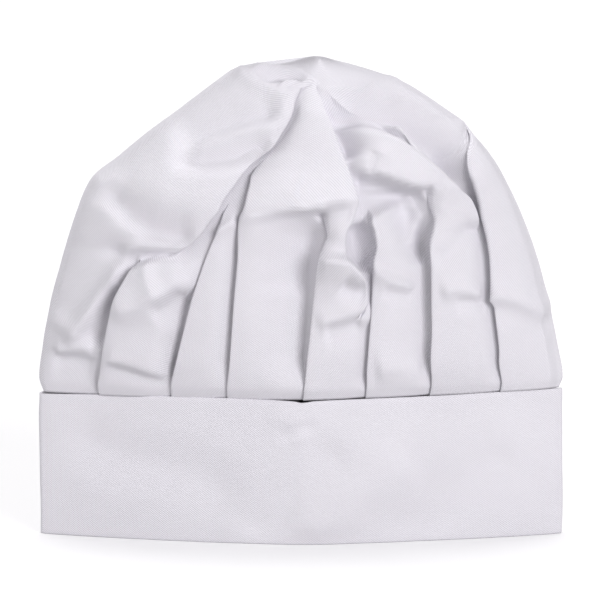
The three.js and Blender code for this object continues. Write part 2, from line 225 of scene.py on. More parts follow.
# %% The fold table
FRONT_FOLDS = [
    {
        "name": "left pleat", "over": "right", "foot": None, "head": -6,
        "way": [
            (-112.6, 79.2, 16, 2.6), (-111.5, 92.1, 15, 4.5), (-109.8, 104.4, 14, 6),
            (-106.4, 120.7, 13, 7.5), (-103.1, 132.5, 11, 8.5), (-98.1, 142.1, 8, 8),
            (-93.1, 149.9, 4, 6), (-89.4, 154.4, 1, 3), (-84.2, 161.7, 0, 0),
        ],
    },
    {
        "name": "flap", "over": "left", "foot": -92, "head": 7.5,
        "way": [
            (-72.4, 152.7, 0, 0), (-67.4, 156.7, 2, 3), (-60.7, 161.7, 6, 6), (-54.9, 167.3, 8, 8),
            (-50.2, 174.1, 9, 9), (-45.1, 180.8, 9, 10), (-40.7, 188.7, 9, 10), (-34.6, 197.1, 9, 10),
            (-27.9, 206.1, 9, 10), (-24, 210, 9, 10), (-15.3, 216.2, 8, 9), (-10.2, 224, 8, 9),
            (-5, 233.6, 6, 8), (-1.7, 243.1, 3, 4), (1.1, 249.3, 1, 1.5),
        ],
    },
    {
        "name": "second pleat", "over": "right", "foot": None, "head": 8,
        "way": [
            (-72.2, 79.2, 16, 2.2), (-68.5, 99.4, 15, 2.2), (-64.6, 115.1, 13, 2.3),
            (-60.7, 130.5, 11, 2.6), (-54.9, 148, 8, 3), (-50.2, 160.6, 6, 3.4),
            (-47.1, 168.4, 4, 3.4), (-43.5, 178, 2, 2.6), (-40.1, 184.2, 0, 0), (-25.1, 204.4, 0, 0),
            (-6.1, 223.5, 0, 0),
        ],
    },
    {
        "name": "third pleat", "over": "right", "foot": None, "head": 8.5,
        "way": [
            (-41, 78.3, 16, 2.2), (-39.6, 94.9, 15, 2.2), (-38.5, 109.5, 14, 2.3),
            (-36.8, 133.6, 12, 2.8), (-35.1, 152.7, 10, 3.3), (-33.8, 176.9, 8, 3.6),
            (-31.8, 180.8, 7, 3.8), (-29, 193.2, 5, 3.6), (-26.2, 202.7, 3, 2.4), (-21.2, 207.8, 0, 0),
            (-3.9, 223.5, 0, 0),
        ],
    },
    {
        "name": "middle pleat", "over": "right", "foot": None, "head": 9,
        "way": [
            (1.1, 74.7, 16, 2.2), (2.2, 86.5, 15.5, 2.4), (3.3, 97.7, 15, 3), (6.7, 131.4, 12, 5),
            (7.8, 141.5, 11, 6), (9.5, 153.6, 8, 7), (12, 160.6, 6, 6.5), (13.7, 166.4, 4, 5.5),
            (11.7, 175.2, 2, 3), (10, 183, 0, 0),
        ],
    },
    {
        "name": "peak", "over": "left", "foot": 21, "head": 10,
        "way": [
            (30.7, 121.3, 0, 0), (34.6, 125.8, 1, 3), (36.8, 131.4, 2, 6), (36.2, 139.8, 3, 8),
            (33.4, 146.6, 3, 9), (30.1, 151, 3, 9), (26.5, 155.5, 3, 9), (25.6, 162.8, 3, 9),
            (26.5, 169, 3, 9), (29.9, 175.7, 3, 9), (32.3, 184.7, 3, 9), (31.6, 188.7, 3, 9),
            (27.3, 201, 3, 8), (22.8, 212.8, 3, 8), (18.8, 223.2, 3, 8), (15.4, 231.9, 3, 8),
            (11.1, 243.1, 2, 4), (8.4, 249, 1, 1.5),
        ],
    },
    {
        "name": "fourth pleat", "over": "right", "foot": None, "head": 10.5,
        "way": [
            (35.7, 77.5, 16, 2.2), (36.2, 89.3, 15, 2.2), (36.8, 101.1, 14, 2.4),
            (38.7, 131.4, 10, 3.4), (39, 149.9, 6, 5), (40.5, 161.2, 4, 6), (39, 167.9, 3, 5.5),
            (36.8, 172.9, 1, 3), (37.3, 179.7, 0, 0), (34, 193.2, 0, 0),
        ],
    },
    {
        "name": "fifth pleat", "over": "right", "foot": None, "head": 11,
        "way": [
            (71.3, 79.2, 16, 2.2), (71.6, 94.9, 15, 2.2), (71.9, 111.7, 13, 2.4),
            (71.6, 131.4, 11, 3.6), (71.3, 149.9, 9, 4.8), (70.6, 160.6, 7, 5.6),
            (72.4, 177.4, 4, 5.8), (69.9, 183.6, 3, 4.5), (68.5, 190.1, 1, 2.5), (66.9, 196.5, 0, 0),
        ],
    },
    {
        "name": "dome", "over": "left", "foot": 92, "head": 11.5,
        "way": [
            (98.6, 169.6, 0, 0), (98.1, 176.9, 2, 5), (94.7, 186.4, 3, 8), (87.8, 193.7, 4, 9),
            (81.4, 201.6, 4, 9), (69.7, 212.2, 4, 8), (58.5, 223.5, 2, 4), (48.5, 232.5, 0, 0),
        ],
    },
    {
        "name": "right pleat", "over": "right", "foot": None, "head": 13,
        "way": [
            (110.9, 80.3, 16, 2.2), (110.3, 92.1, 15, 2.2), (109.6, 105, 13, 2.5),
            (108.1, 117.4, 12, 3.2), (107, 126.9, 11, 4.2), (103.4, 132, 10, 4.8),
            (101.3, 149.9, 9, 6), (100, 173.5, 8, 7), (98.4, 183.6, 7, 8), (94.2, 199.3, 5, 7.5),
            (93.1, 212.2, 3, 6), (94.2, 222.4, 1, 3), (94.7, 230.2, 0, 0),
        ],
    },
]
HEAD_RING = 6.35
POLE_SPREAD = 0.8
LEAST_RING_STEP = 0.04
EDGE_SHARE = 0.85
AIM_STEPS = 4


def seen_edge(x, q, lift):
    """The ring and the share of a fold whose lifted edge is seen at x, q."""
    aim_x, aim_q = x, q
    for _ in range(AIM_STEPS):
        v, s = seen_ring(aim_x, aim_q)
        point = loop_point(ring_at(v), -1, np.array([s]), np.array([lift * EDGE_SHARE]))[0]
        aim_x += x - point[0]
        aim_q += q - point[2] - LOWER_PER_DEPTH * point[1]
    return v, s


def fold_way(fold, pole_share):
    """The fold's way as rows of ring, share, tuck and lift, from the seam up to the pole."""
    rows = []
    if fold["foot"] is not None:
        foot = ring_at(0)
        rows.append((0.0, (fold["foot"] - middle_x(foot)) / half_width(foot), 0.0, 0.0))
    for x, q, tuck, lift in fold["way"]:
        v, s = seen_edge(x, q, lift)
        if not rows:
            v = 0.0
        elif v < rows[-1][0] + LEAST_RING_STEP:
            continue
        rows.append((v, s, tuck, lift))
    head = ring_at(HEAD_RING)
    rows = [row for row in rows if row[0] < HEAD_RING - LEAST_RING_STEP]
    rows.append((HEAD_RING, (fold["head"] - middle_x(head)) / half_width(head), 0.0, 0.0))
    rows.append((POLE_RING, pole_share, 0.0, 0.0))
    return np.array(rows)


pole_shares = np.linspace(-POLE_SPREAD, POLE_SPREAD, len(FRONT_FOLDS))
front_ways = [fold_way(fold, share) for fold, share in zip(FRONT_FOLDS, pole_shares)]
for fold, way in zip(FRONT_FOLDS, front_ways):
    print(f"{fold['name']}: {len(way)} rows, opens at ring {way[way[:, 3] > 0][-1][0]:.1f}")

# %% [markdown]
# ## The folds of the back
#
# The back isn't seen from the front, so its pleats are plain: they all start with the same tuck, lean
# a little towards the middle and fade out at slightly different heights. On their way up the cloth
# beside them puffs out a little.

# %% The back's pleats
BACK_PLEATS = [
    # place across, ring where it has opened, lean
    (-0.8, 3.6, 0.04),
    (-0.56, 4.4, 0.03),
    (-0.32, 4.9, 0.02),
    (-0.08, 4.2, 0.0),
    (0.16, 5.1, -0.02),
    (0.4, 4.6, -0.02),
    (0.62, 4.0, -0.03),
    (0.84, 3.4, -0.03),
]
BACK_TUCK = 15
BACK_LIFT = 2.6
BACK_PUFF = 5.0
BACK_OPENS_BEFORE = 0.8
BACK_LIFT_FADE = 3


def front_folds_at(v):
    """The front's folds on ring v: side on top, share, tuck and lift."""
    folds = []
    for fold, way in zip(FRONT_FOLDS, front_ways):
        share, tuck, lift = (float(smooth_curve(way[:, 0], way[:, k], v)) for k in (1, 2, 3))
        folds.append({"right": fold["over"] == "right", "s": share, "tuck": tuck, "lift": lift})
    return folds


def back_folds_at(v):
    """The back's folds on ring v, in the same form."""
    folds = []
    for at, reach, lean in BACK_PLEATS:
        left = max(0.0, 1 - v / reach)
        tuck = BACK_TUCK * max(0.0, 1 - v / (reach - BACK_OPENS_BEFORE))
        lift = BACK_LIFT * min(1.0, BACK_LIFT_FADE * left) + BACK_PUFF * math.sin(math.pi * left)
        folds.append({"right": True, "s": at + lean * v / reach, "tuck": tuck, "lift": lift})
    return folds


print(len(FRONT_FOLDS), "folds in front,", len(BACK_PLEATS), "behind")

# %% [markdown]
# ## Across one fold and across one panel
#
# A pleat's edge is a rolled loop of cloth. Seen from the end, the cloth runs in under the edge, turns
# back below it and rolls over it. The section table holds that way as shares of the tuck, of the
# edge's width and of its lift. From the edge the panel rises in a soft roll, and then falls ever more
# steeply to dive under the next fold, which is what pressed cotton does.

# %% The section of a fold and the profile of a panel
SECTION = np.array([
    # under, spread, up
    (0, -1, 0),
    (0.5, -0.8, 0),
    (0.9, -0.65, 0.01),
    (1, -0.5, 0.06),
    (0.9, -0.3, 0.12),
    (0.5, 0, 0.2),
    (0.1, 0.2, 0.42),
    (-0.02, 0.35, 0.66),
    (-0.03, 0.5, 0.85),
    (0, 0.65, 0.96),
    (0.06, 0.85, 1),
    (0.15, 1, 1),
])
# How much of a panel's dents each point of the section takes part in, and to which side it belongs.
SECTION_SHARE = np.array([1, 0.6, 0.3, 0, 0, 0, 0.25, 0.5, 0.75, 0.9, 1, 1])
SECTION_UPPER = np.array([0, 0, 0, 0, 0, 0, 1, 1, 1, 1, 1, 1])
OPEN_SPREAD = 5.0
CLOSED_SPREAD = 0.9
CLOSED_TUCK = 5.0
CLOSED_LIFT = 1.6
SPREAD_SHARE = 0.3
FALL_POWER = 3.4
ROLL_POWER = 0.6
BOTH_SHARE = 0.6


def roll(u):
    """The roll of a panel: steep from the fold at u 0, highest near it, and gone at u 1."""
    return np.sin(math.pi * np.clip(u, 0, 1) ** ROLL_POWER)


def panel_profile(u, start, end):
    """Heights across a panel at shares u, from the lift of the edge that lies on top at each end."""
    falls = 1 - u ** FALL_POWER
    rises = 1 - (1 - u) ** FALL_POWER
    edges = start * falls + end * rises - min(start, end) * BOTH_SHARE * (falls + rises - 1)
    return EDGE_SHARE * edges + (1 - EDGE_SHARE) * (start * roll(u) + end * roll(1 - u))


def panel_height(folds, closed, panel, s):
    """Heights at shares s of one panel, between the nearest folds on both sides that are closed."""
    left = max((i for i in closed if i < panel), default=None)
    right = min((i for i in closed if i >= panel), default=None)
    s0 = -1 if left is None else folds[left]["s"]
    s1 = 1 if right is None else folds[right]["s"]
    start = folds[left]["lift"] if left is not None and folds[left]["right"] else 0.0
    end = folds[right]["lift"] if right is not None and not folds[right]["right"] else 0.0
    return panel_profile(np.clip((s - s0) / (s1 - s0), 0, 1), start, end)


def cloth_height(folds, panel, s):
    """Heights at shares s of one panel. The folds come in one by one, a half-open one only in part."""
    total = np.zeros_like(s)
    closed = []
    for i in sorted(range(len(folds)), key=lambda k: -folds[k]["lift"]):
        share = min(1, folds[i]["lift"] / CLOSED_LIFT)
        if share <= 0:
            break
        closed.append(i)
        total = (1 - share) * total + share * panel_height(folds, closed, panel, s)
    return total


print("a panel with a lift of 6:", panel_profile(np.linspace(0, 1, 6), 6, 0).round(1))

# %% [markdown]
# ## One half of a ring
#
# The front or back of a ring is put together from left to right: panel, fold, panel, fold. Each place
# also keeps which panel it belongs to, so that a dent can later be pressed into one panel alone.

# %% Put a half ring together
FRONT_COLUMNS = [22, 28, 8, 12, 34, 22, 8, 30, 28, 8, 22]
BACK_COLUMNS = [4, 4, 4, 4, 4, 4, 4, 4, 4]
LEAST_GAP = 0.006
TUCK_SHARE = 0.8


def kept_apart(folds):
    """Pushes folds that would cross into their order from left to right."""
    for i in range(1, len(folds)):
        folds[i]["s"] = max(folds[i]["s"], folds[i - 1]["s"] + LEAST_GAP)
    return folds


def fold_section(folds, i, width):
    """Shares, heights, panel numbers and dent shares of the points across one fold."""
    fold = folds[i]
    gap_left = (fold["s"] - (folds[i - 1]["s"] if i else -1)) * width
    gap_right = ((folds[i + 1]["s"] if i < len(folds) - 1 else 1) - fold["s"]) * width
    closed = min(1, fold["tuck"] / CLOSED_TUCK)
    spread = OPEN_SPREAD + (CLOSED_SPREAD - OPEN_SPREAD) * closed
    spread = min(spread, SPREAD_SHARE * min(gap_left, gap_right))
    turned, room = (1, gap_right) if fold["right"] else (-1, gap_left)
    tuck = min(fold["tuck"], TUCK_SHARE * room)
    s = fold["s"] + turned * (SECTION[:, 0] * tuck + SECTION[:, 1] * spread) / width
    lower, upper = (i, i + 1) if fold["right"] else (i + 1, i)
    low, high = cloth_height(folds, lower, s), cloth_height(folds, upper, s)
    h = low + SECTION[:, 2] * (high - low)
    dent = 1 - min(1, fold["lift"] / CLOSED_LIFT) * (1 - SECTION_SHARE)
    panel = np.where(SECTION_UPPER > 0, upper, lower)
    points = (s, h, panel, dent)
    return points if fold["right"] else tuple(column[::-1] for column in points)


def half_ring(folds, width, columns):
    """Shares, heights, panel numbers and dent shares of the places across half a ring."""
    sections = [fold_section(folds, i, width) for i in range(len(folds))]
    parts = []
    for i, count in enumerate(columns):
        start = sections[i - 1][0][-1] if i else -1.0
        end = sections[i][0][0] if i < len(folds) else 1.0
        s = start + (end - start) * (np.arange(count) + 1) / (count + 1)
        parts.append((s, cloth_height(folds, i, s), np.full(count, i), np.ones(count)))
        if i < len(folds):
            parts.append(sections[i])
    return tuple(np.concatenate(column) for column in zip(*parts))


print("places across the front:", sum(FRONT_COLUMNS) + len(FRONT_FOLDS) * len(SECTION))

# %% [markdown]
# ## The whole crown as a grid
#
# Rings and columns make one grid of points. The side folds get a few points of their own, and near
# the top the folds keep their places and shrink with the ring. The rings lie closest just above the
# seam. The panels of the back are numbered from 100 on, so that no stroke of the front meets them.

# %% Lay out the grid
RING_LIST = np.concatenate([
    np.linspace(0, 0.3, 7)[:-1],
    np.linspace(0.3, 1, 9)[:-1],
    np.linspace(1, 6, 70)[:-1],
    np.linspace(6, 6.94, 13),
])
SIDE_FAN = np.array([-0.75, -0.4, 0.0, 0.4, 0.75])
BACK_PANELS = 100


def side_fold(ring, side):
    """The points round a side fold, after the half on this side, with their ring height."""
    s = np.array([LAST_SHARE])
    tip = loop_point(ring, side, s, np.array([0.0])) - loop_point(ring, side, s, np.array([-ring["fold"]]))
    half_angle = math.acos(min(1.0, abs(tip[0][0]) / max(ring["fold"], 1e-6)))
    centre = middle_x(ring) - side * half_width(ring)
    x = centre - side * ring["fold"] * np.cos(SIDE_FAN * half_angle)
    y = -side * ring["fold"] * np.sin(SIDE_FAN * half_angle)
    z = np.full(len(x), ring_height(ring, np.array(-side * 1.0)))
    return np.stack([x, y, z], axis=-1)


def crown_row(v):
    """All points of ring v once round, with each point's place round the loop, panel and dent share."""
    ring = ring_at(v)
    fold_ring = ring_at(min(v, HEAD_RING))
    shrink = half_width(ring) / half_width(fold_ring)
    points, places, panels, dents = [], [], [], []
    halves = ((-1, front_folds_at(v), FRONT_COLUMNS), (1, back_folds_at(v), BACK_COLUMNS))
    for side, folds, columns in halves:
        for fold in kept_apart(folds):
            fold["tuck"] *= shrink
            fold["lift"] *= shrink
        s, h, panel, dent = half_ring(folds, half_width(ring), columns)
        fan = side_fold(ring, side)
        points += [loop_point(ring, side, -side * s, h), fan]
        places += [s + 1 + side, np.full(len(fan), 2.0 + side)]
        shift = 0 if side < 0 else BACK_PANELS
        panels += [panel + shift, np.full(len(fan), shift + (len(columns) - 1))]
        dents += [dent, np.ones(len(fan))]
    return [np.concatenate(column) for column in (points, places, panels, dents)]


rows = [crown_row(v) for v in RING_LIST]
grid = np.stack([row[0] for row in rows])
place_grid = np.stack([row[1] for row in rows])
panel_grid = np.stack([row[2] for row in rows]).round()
dent_grid = np.stack([row[3] for row in rows])
print("crown grid:", grid.shape[0], "rings by", grid.shape[1], "columns")

# %% [markdown]
# ## Dents, ridges and wrinkles
#
# Soft cloth isn't smooth between its folds. Each wrinkle of the hat is a stroke: the panels that it
# touches, how high it stands (or how deep it lies, below zero), how wide it is to its left and right
# along its direction, how round its crest is, and its way as a line of seen places. Across, it is a
# ridge with two slopes that flatten out, like pressed cotton, and it fades at both ends.

# %% The stroke table
STROKES = [
    # name, first panel, last panel, height, width left, width right, roundness, way
    ("shoulder point", 0, 1, 1.6, 4, 4, 1, [(-116.5, 201), (-112.6, 198.2), (-108.7, 195.4)]),
    ("shoulder dent", 0, 1, -2.4, 8, 8, 2, [(-105.3, 197.6), (-107.6, 190.9), (-109.8, 184.2)]),
    ("shoulder valley", 0, 1, -7, 22, 6, 1.5, [
        (-112, 194.3), (-105.3, 188.7), (-96.4, 178.6), (-84.2, 170.1), (-69.7, 165.6), (-56.3, 165.1)]),
    ("flap foot ridge", 0, 1, 3, 5, 4, 1.5, [
        (-102, 157.2), (-89.7, 160), (-75.8, 161.2), (-61.9, 160.6)]),
    ("flap upper hollow", 0, 1, -7.5, 16, 8, 2, [
        (-73, 217.9), (-53.5, 225.2), (-36.8, 231.3), (-21.7, 235.3), (-8.4, 238.1)]),
    ("flap lower hollow", 0, 1, -7.5, 12, 9, 2, [
        (-74.1, 210), (-56.3, 208.9), (-40.7, 210.6), (-27.3, 213.9), (-15, 219.5)]),
    ("flap wrinkle", 0, 1, -0.9, 1.5, 2.5, 1, [(-21.7, 220.7), (-16.2, 222.4), (-10, 223.5)]),
    ("hook crease", 0, 2, -5, 3, 3, 0.6, [
        (-94.2, 150.5), (-86.9, 154.7), (-79.7, 156.7), (-73.6, 157.2), (-65.8, 154.4)]),
    ("lip under the hook", 1, 2, 3.2, 3, 9, 0.6, [
        (-88.6, 150.5), (-79.7, 152.7), (-71.9, 153.3), (-65.2, 153.9)]),
    ("left panel valley", 0, 0, -3.5, 10, 14, 3, [
        (-102, 169.6), (-104.8, 152.7), (-113.1, 140.4), (-123.2, 129.1), (-135.4, 116.8)]),
    ("left panel ridge", 0, 0, 7, 5, 22, 0.6, [
        (-94.2, 155.5), (-99.8, 147.7), (-105.3, 139.3), (-111.5, 129.7), (-118.7, 119.6),
        (-129.9, 105.6)]),
    ("left panel hollow", 0, 0, -4.5, 5, 8, 2, [
        (-98.6, 140.4), (-104.2, 129.1), (-108.7, 115.7), (-112, 103.3)]),
    ("left foot ridge", 0, 0, 3.2, 9, 6, 0.6, [
        (-137.7, 102.8), (-128.7, 104.4), (-120.9, 105.6), (-113.7, 103.3)]),
    ("left foot line", 0, 0, -2.8, 4, 16, 1.5, [
        (-138.8, 98.8), (-128.7, 98.3), (-120.9, 97.1), (-113.7, 95.5)]),
    ("second panel edge", 1, 2, 3.5, 8, 12, 0.6, [(-87.5, 152.7), (-84.2, 142.6), (-79.1, 130.3)]),
    ("second panel bend", 1, 2, 4.2, 14, 12, 0.8, [
        (-106.4, 121.3), (-98.1, 125.2), (-89.2, 127.5), (-81.4, 130.3), (-73, 137), (-60.7, 146)]),
    ("second panel pocket", 1, 2, -5, 5, 12, 2, [(-83, 122.4), (-73, 128), (-65.2, 135.9)]),
    ("second foot ridge", 1, 2, 2.8, 20, 5, 1.2, [
        (-110.9, 99.4), (-98.1, 97.1), (-86.9, 93.8), (-77.5, 90.4), (-70.2, 88.7)]),
    ("second foot line", 1, 2, -2.2, 5, 8, 1, [
        (-109.8, 94.3), (-96.4, 91), (-86.9, 87.6), (-78.6, 85.1), (-70.8, 85.9)]),
    ("third panel ridge", 3, 3, 3, 3, 5, 0.6, [(-48.5, 167.3), (-41.8, 171.8), (-35.1, 175.7)]),
    ("third panel fall", 3, 3, -3.5, 6, 9, 2, [
        (-35.1, 173.5), (-36.2, 152.7), (-37.9, 131.4), (-39.6, 106.1), (-41.2, 80.9)]),
    ("bend", 4, 5, 5, 30, 24, 1, [
        (-40.7, 175.2), (-28.4, 177.4), (-6.1, 180.2), (9.5, 183.9), (21.7, 185.6), (36.2, 188.1)]),
    ("under the bend", 4, 4, -4, 6, 30, 4, [(11.7, 175.2), (5, 166.2), (1.7, 152.7), (0.6, 131.4)]),
    ("fourth fall", 4, 4, -8, 5, 30, 4, [(9.5, 179.7), (5, 164), (2.8, 139.8), (1.7, 114.5), (0.6, 82)]),
    ("below the bend", 5, 5, -2.2, 4, 6, 2, [(10.6, 181.4), (20.6, 180.2), (28.4, 178.6)]),
    ("knee", 5, 5, 6.5, 3, 16, 0.2, [
        (6.1, 153.3), (16.2, 154.1), (24, 153.3), (30.7, 149.9), (36.2, 144.3), (39, 138.1)]),
    ("knee shade", 5, 5, -4.5, 8, 8, 2, [(21.7, 140.4), (29.5, 134.8), (36.2, 132.5)]),
    ("knee foot", 5, 6, 4, 10, 9, 0.6, [
        (7.2, 117.9), (15, 120.2), (22.8, 121.8), (31.2, 124.7), (39, 129.7)]),
    ("under the knee", 5, 6, -3, 5, 12, 2, [(11.7, 113.4), (21.7, 115.7), (34, 119)]),
    ("fourth lip", 7, 7, 8, 4, 16, 0.4, [
        (28.4, 172.4), (38.5, 177.4), (47.4, 180.8), (56.3, 184.2), (68.5, 188.7)]),
    ("lip loop", 7, 7, -1.4, 2.5, 3, 1, [(34, 170.7), (39.6, 169.6), (44.6, 170.1)]),
    ("fifth fall", 7, 7, -6.5, 5, 24, 4, [
        (68, 185.9), (68, 167.9), (68.5, 151), (69.1, 131.4), (70.2, 82)]),
    ("fifth facet", 7, 7, 3.5, 4, 5, 1, [(65.2, 183), (64.1, 171.8), (61.9, 159.5)]),
    ("fourth wrinkle", 7, 7, 3.6, 3, 10, 0.5, [
        (37.3, 151.6), (41.8, 147.1), (48.5, 143.2), (55.7, 140.9), (64.1, 137)]),
    ("under the wrinkle", 7, 7, -1.8, 3, 6, 1, [(44, 137), (54.1, 134.8), (64.1, 133.6)]),
    ("fourth foot", 7, 7, 3, 14, 12, 2, [(39.6, 93.2), (52.4, 94.3), (69.1, 93.8)]),
    ("arch", 6, 8, -11, 4, 26, 2.5, [
        (25.1, 195.4), (32.9, 196.5), (41.8, 195.4), (50.7, 192.6), (60.7, 189.2), (71.9, 185.9)]),
    ("dome foot", 6, 8, 4, 18, 3, 0.4, [
        (26.2, 201), (38.5, 202.1), (49.6, 198.8), (59.6, 194.8), (69.7, 192), (78.6, 192)]),
    ("crown dimple", 6, 8, -2.4, 4, 3, 0.8, [(42.4, 213.4), (41.2, 207.2), (37.9, 199.9)]),
    ("upper arch", 6, 8, 2.6, 5, 12, 0.8, [
        (20.6, 225.7), (27.3, 230.2), (35.1, 231.3), (42.4, 229.1), (50.7, 221.8), (61.9, 215.6)]),
    ("peak hollow", 6, 8, -14, 14, 5, 2, [
        (12.3, 243.7), (16.7, 235.8), (21.7, 225.7), (25.6, 215.6), (28.4, 206.6)]),
    ("top ridge", 5, 10, 2.4, 4, 4, 0.3, [
        (6.7, 249.3), (16.2, 248.5), (24.5, 248.2), (34, 249.9), (44, 252.7)]),
    ("dome valley", 6, 10, -12, 18, 6, 2.5, [
        (13.9, 239.2), (27.3, 234.7), (44, 231.3), (60.7, 224.6), (73, 215.6), (84.2, 206.1),
        (92, 194.3)]),
    ("outer ridge", 8, 10, 4, 8, 10, 2, [(50.7, 248.2), (63.5, 239.2), (77.5, 230.2), (93.1, 221.2)]),
    ("outer point", 6, 10, 1.4, 4, 4, 0.8, [(48.5, 257.2), (51.8, 252.7), (56.3, 244.8)]),
    ("gore edge", 8, 8, 1.6, 5, 5, 1, [(84.2, 198.8), (80.8, 190.9), (74.1, 179.7)]),
    ("gore shade", 8, 9, -3.5, 8, 8, 2, [(97.5, 175.2), (89.2, 165.1), (80.8, 156.7), (71.9, 151.6)]),
    ("gore ridge", 8, 9, 3.4, 9, 8, 0.6, [(75.2, 135.9), (84.2, 137.6), (92, 137), (100.9, 133.1)]),
    ("gore line", 8, 9, -2, 3, 9, 1, [(84.2, 130.3), (94.2, 130.8), (104.2, 128.6)]),
    ("right ledge", 10, 10, 2.4, 12, 9, 0.6, [
        (102, 132.5), (110.9, 133.1), (122, 130.3), (137.7, 121.3)]),
    ("right hollow", 10, 10, -1.4, 4, 12, 2, [
        (103.1, 128.6), (113.7, 126.3), (126.5, 121.3), (139.9, 114.5)]),
    ("top left ridge", 0, 3, 4, 5, 7, 0.2, [
        (-34.6, 264.5), (-31.8, 257.7), (-26.2, 252.7), (-17.3, 248.2), (-7.2, 244.3), (1.7, 247.6)]),
    ("top middle ridge", 0, 8, 5, 7, 3, 0.2, [
        (-28.4, 254.9), (-26.2, 258.3), (-18.4, 260), (-8.4, 259.7), (-0.6, 257.7), (5, 254.4),
        (10, 249.3)]),
    ("top inner ridge", 0, 6, 3.6, 2.5, 2.5, 0.2, [
        (-12.8, 248.7), (-8.4, 251.3), (-2.8, 252.1), (2.8, 252.1), (8.4, 249.9)]),
    ("top hollow", 0, 6, -3.6, 2.5, 3, 0.5, [(-22.8, 253.8), (-13.9, 254.9), (-5, 254.9), (3.9, 251.6)]),
    ("cap hollow", 0, 10, -3, 5, 4, 1.5, [
        (-25.1, 262.8), (-11.7, 262.8), (-0.6, 261.7), (7.2, 257.2), (11.7, 252.7)]),
    ("left fall", 0, 0, -1.2, 5, 8, 1, [(-113.7, 99.9), (-113.1, 91), (-113.1, 79.7)]),
    ("second fall", 1, 2, -6, 6, 12, 2, [(-59.6, 141.5), (-65.2, 121.3), (-69.1, 103.3), (-71.9, 82)]),
    ("fifth panel fall", 5, 6, -2.5, 5, 8, 1.5, [(36.2, 121.3), (36.2, 106.1), (35.1, 80.9)]),
    ("above the knee", 5, 5, -3, 8, 5, 2, [(11.7, 165.1), (19.5, 159.5), (27.3, 156.1)]),
    ("recess", 6, 6, -12, 8, 8, 5, [(28.4, 175.2), (31.8, 165.1), (34, 156.1), (36.2, 145.4)]),
    ("dome gap", 9, 9, -7, 7, 9, 4, [(75.2, 215.6), (85.3, 205.5), (92.5, 193.2), (98.6, 175.2)]),
    ("gore fall", 8, 9, -2.5, 5, 8, 1.5, [
        (98.6, 179.1), (100.3, 162.3), (102, 139.8), (105.3, 125.8), (109.2, 103.3), (110.3, 82)]),
    ("bend edge", 4, 5, 3, 3, 4, 0.2, [
        (-35.1, 175.7), (-28.4, 177.4), (-6.1, 180.2), (9.5, 183.9), (21.7, 185.6), (34, 187.5)]),
    ("under the arch", 7, 7, -7, 8, 16, 4, [(50.7, 186.4), (61.9, 178.6), (68.5, 165.1), (68.5, 149.4)]),
]
TAPER = 0.18
TENT_POWER = 1.5


def seen_places(points):
    """x across and q up the picture of 3-D points in millimetres."""
    return np.stack([points[..., 0], points[..., 2] + LOWER_PER_DEPTH * points[..., 1]], axis=-1)


def stroke_profile(place, height, width_left, width_right, roundness, way):
    """A stroke's height at each seen place."""
    way = np.array(way, float)
    legs = np.linalg.norm(np.diff(way, axis=0), axis=1)
    starts = np.concatenate([[0], np.cumsum(legs)])
    nearest = np.full(place.shape[:-1], np.inf)
    along = np.zeros_like(nearest)
    across = np.zeros_like(nearest)
    for a, b, leg, start in zip(way[:-1], way[1:], legs, starts):
        direction = (b - a) / leg
        offset = place - a
        t = np.clip(offset @ direction, 0, leg)
        away = offset - t[..., None] * direction
        distance = np.hypot(away[..., 0], away[..., 1])
        turn = direction[0] * offset[..., 1] - direction[1] * offset[..., 0]
        closer = distance < nearest
        nearest = np.where(closer, distance, nearest)
        along = np.where(closer, start + t, along)
        across = np.where(closer, np.sign(turn), across)
    width = np.where(across > 0, width_left, width_right)
    share = along / starts[-1]
    taper = ease(share / TAPER) * ease((1 - share) / TAPER)
    rounded = np.sqrt(nearest ** 2 + roundness ** 2) - roundness
    return height * taper * np.maximum(0, 1 - rounded / width) ** TENT_POWER


seen_grid = seen_places(grid)
stroke_heights = np.zeros(grid.shape[:2])
for _, first_panel, last_panel, *shape in STROKES:
    inside = (panel_grid >= first_panel) & (panel_grid <= last_panel)
    stroke_heights += np.where(inside, stroke_profile(seen_grid, *shape), 0)
lowest, highest = stroke_heights.min().round(1), stroke_heights.max().round(1)
print(len(STROKES), "strokes, from", lowest, "to", highest, "mm")

# %% [markdown]
# ## Small unevenness
#
# No cloth hangs perfectly even. A slow noise swells and sinks the panels by about half a millimetre,
# and finer ones add the faint rumples of worn cotton. The noise has no random seed, so each run is the
# same. A shift moves each layer to a part of the noise of its own.

# %% Noise over the crown
SWELLS = [
    # size of a swell in mm, height in mm
    (34.0, 0.7),
    (15.0, 0.28),
    (6.0, 0.07),
]
NOISE_SHIFT = 17.3
CROWN_SHIFT = Vector((1, 0, 1))


def swell_height(point, layers, way, first):
    """How far the noise moves a point in or out. Its layers are shifted along the way, from first on."""
    total = 0.0
    for layer, (size, height) in enumerate(layers, first):
        total += height * noise.noise(Vector(point) / size + way * (NOISE_SHIFT * layer))
    return total


swells = np.array([[swell_height(p, SWELLS, CROWN_SHIFT, 1) for p in row] for row in grid.tolist()])
print("swells from", swells.min().round(2), "to", swells.max().round(2), "mm")

# %% [markdown]
# ## Pressing the dents into the grid
#
# A dent moves the cloth in or out. If each point moved along the folded grid's own direction, the
# layers of a pleat would move apart or through each other. So the direction comes from the bare
# loops, without folds, and the cloth stays calm at the seam and at the top.

# %% Move the grid outward
SEAM_CALM = 0.35
POLE_CALM = 0.25
EVEN_COUNT = 60
LEAST_LENGTH = 1e-9
EVEN_PLACES = np.linspace(-1, 1, EVEN_COUNT, endpoint=False)


def even_loop(v):
    """Points of the bare loop of ring v, at even places in front and then behind."""
    ring = ring_at(v)
    flat = np.zeros(len(EVEN_PLACES))
    return np.concatenate([loop_point(ring, side, -side * EVEN_PLACES, flat) for side in (-1, 1)])


